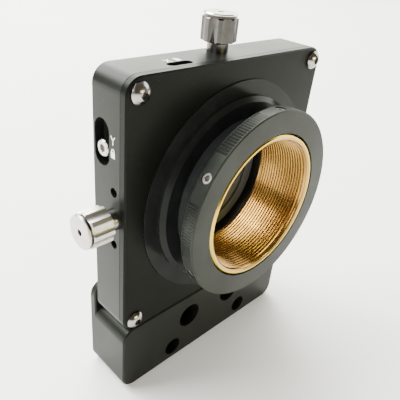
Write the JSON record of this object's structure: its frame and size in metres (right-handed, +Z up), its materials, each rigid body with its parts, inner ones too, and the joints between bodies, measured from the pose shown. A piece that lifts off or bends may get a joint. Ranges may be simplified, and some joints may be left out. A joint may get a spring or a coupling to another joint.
{
  "type": "optical lens mount",
  "caption": "Square two-axis lens mount on a foot: a round stage shifts by two fluted knobs, and a knurled collar with a threaded brass ring turns on its neck.",
  "frame": {"origin": "centre of the foot's flat underside", "axes": "+X to the right seen from the front, the lens side faces -Y, +Z up"},
  "size_m": [0.0862, 0.0316, 0.1125],
  "materials": {
    "foot_black": "fine satin black anodising",
    "satin_black": "satin black anodising",
    "cover_black": "satin black anodising, slightly smoother than the frame",
    "gloss_black": "glossy black anodising",
    "grip_black": "satin black anodising, lighter on the knurl's edges",
    "inner_black": "plain black anodising",
    "matt_black": "dull black anodising",
    "ring_grey": "dull dark grey anodising",
    "brass": "turned brass with a fine thread",
    "knob_steel": "turned and polished stainless steel",
    "bright_screw": "bright stainless steel",
    "bush_steel": "turned steel",
    "dark_steel": "black oxide",
    "inner_steel": "ground steel"
  },
  "bodies": {
    "frame": {"base_block": "foot_black", "frame_body": "satin_black", "front_cover": "cover_black", "cover_screws": "bright_screw", "base_screws": "dark_steel", "upright_guide_rods": "inner_steel", "upright_springs": "inner_steel", "side_springs": "inner_steel", "side_spring_anchor_pins": "inner_steel", "side_bushing": "bush_steel", "top_bushing": "bush_steel"},
    "upright_slide": {"upright_slide": "inner_black", "cross_guide_rods": "inner_steel", "top_thrust_pad": "inner_steel", "top_ball_tip": "inner_steel"},
    "upright_lock": {"upright_lock_screw": "bright_screw"},
    "stage": {"stage_slide": "gloss_black", "side_thrust_pad": "inner_steel", "side_spring_stage_pins": "inner_steel", "neck_tube": "gloss_black", "inner_tube": "matt_black", "spacer_ring": "ring_grey", "aperture_ring": "ring_grey", "snap_ring": "inner_steel"},
    "sideways_lock": {"sideways_lock_screw": "dark_steel"},
    "collar": {"grip_collar": "grip_black", "collar_set_screws": "dark_steel", "thread_ring": "brass"},
    "side_tip": {"side_ball_tip": "inner_steel"},
    "side_knob": {"side_adjuster_screw": "inner_steel", "side_knob": "knob_steel"},
    "top_knob": {"top_adjuster_screw": "inner_steel", "top_knob": "knob_steel"}
  },
  "joints": [
    {"name": "upright_travel", "type": "slide", "parent": "frame", "child": "upright_slide", "axis": [0, 0, 1], "range_m": [-0.001, 0.001], "deforming": ["upright_springs"]},
    {"name": "top_knob_turn", "type": "hinge", "parent": "upright_slide", "child": "top_knob", "pos_m": [0, 0.0007, 0.1023], "axis": [0, 0, 1], "range_deg": [-720, 720]},
    {"name": "upright_lock_turn", "type": "hinge", "parent": "upright_slide", "child": "upright_lock", "pos_m": [-0.038, 0.0007, 0.0823], "axis": [-1, 0, 0], "range_deg": [0, 360]},
    {"name": "sideways_travel", "type": "slide", "parent": "upright_slide", "child": "stage", "axis": [1, 0, 0], "range_m": [-0.001, 0.001], "deforming": ["side_springs"]},
    {"name": "sideways_lock_turn", "type": "hinge", "parent": "stage", "child": "sideways_lock", "pos_m": [-0.01865, -0.00415, 0.0926], "axis": [0, 0, 1], "range_deg": [0, 360]},
    {"name": "collar_turn", "type": "hinge", "parent": "stage", "child": "collar", "pos_m": [0.0024, -0.02, 0.0621], "axis": [0, 1, 0], "continuous": true},
    {"name": "side_tip_travel", "type": "slide", "parent": "frame", "child": "side_tip", "axis": [1, 0, 0], "range_m": [-0.001, 0.001]},
    {"name": "side_knob_turn", "type": "hinge", "parent": "side_tip", "child": "side_knob", "pos_m": [-0.038, -0.00415, 0.0638], "axis": [-1, 0, 0], "range_deg": [-720, 720]}
  ],
  "couplings": [
    {"joint": "top_knob_turn", "follows": "upright_travel", "rad_per_m": 12566},
    {"joint": "side_knob_turn", "follows": "sideways_travel", "rad_per_m": -12566},
    {"joint": "side_tip_travel", "follows": "sideways_travel", "ratio": 1}
  ]
}
